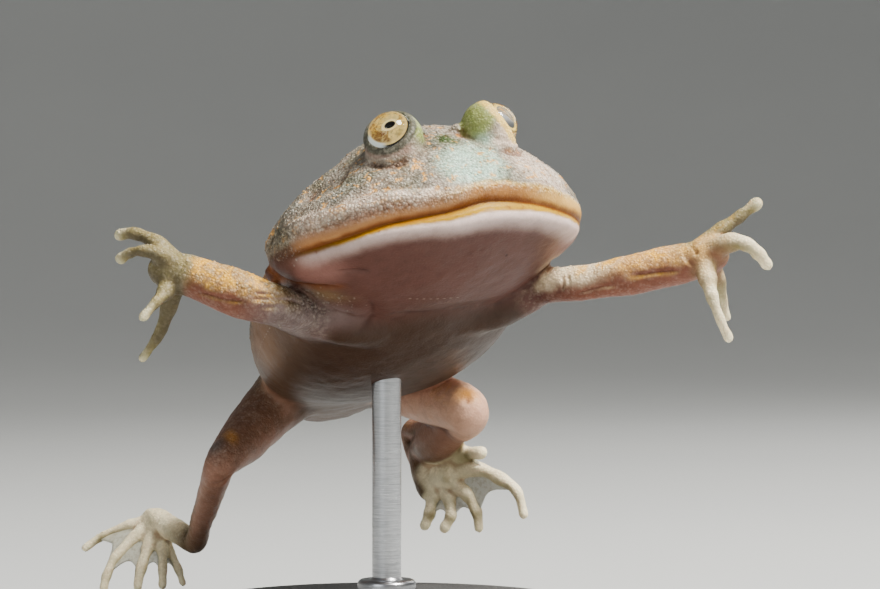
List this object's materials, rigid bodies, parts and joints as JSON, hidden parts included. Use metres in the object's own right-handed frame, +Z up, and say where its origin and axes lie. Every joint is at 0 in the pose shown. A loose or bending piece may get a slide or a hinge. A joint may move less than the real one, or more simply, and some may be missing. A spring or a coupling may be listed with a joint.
{
  "type": "budgett's frog model",
  "caption": "Life-size still model of a wide-mouthed aquatic frog swimming with arms spread, held on a round base by one rod.",
  "frame": {"origin": "centre of the stand base's underside, on the floor", "axes": "+Z up; the frog's body points along -Y and its left side is +X"},
  "size_m": [0.1045, 0.1048, 0.0896],
  "materials": {
    "skin": "moist, slightly glossy amphibian skin, pinkish tan with grey and orange flecks",
    "eye": "glossy clear cornea over a golden-bronze iris",
    "stand_base": "satin black",
    "stand_rod": "satin brushed steel"
  },
  "bodies": {
    "root": {"head": "skin", "torso": "skin", "upper_arm_left": "skin", "upper_arm_right": "skin", "forearm_left": "skin", "forearm_right": "skin", "hand_left": "skin", "hand_right": "skin", "thigh_left": "skin", "thigh_right": "skin", "shank_left": "skin", "shank_right": "skin", "tarsus_left": "skin", "tarsus_right": "skin", "foot_left": "skin", "foot_right": "skin", "eye_left": "eye", "eye_right": "eye", "stand_base": "stand_base", "stand_rod": "stand_rod"}
  },
  "joints": []
}
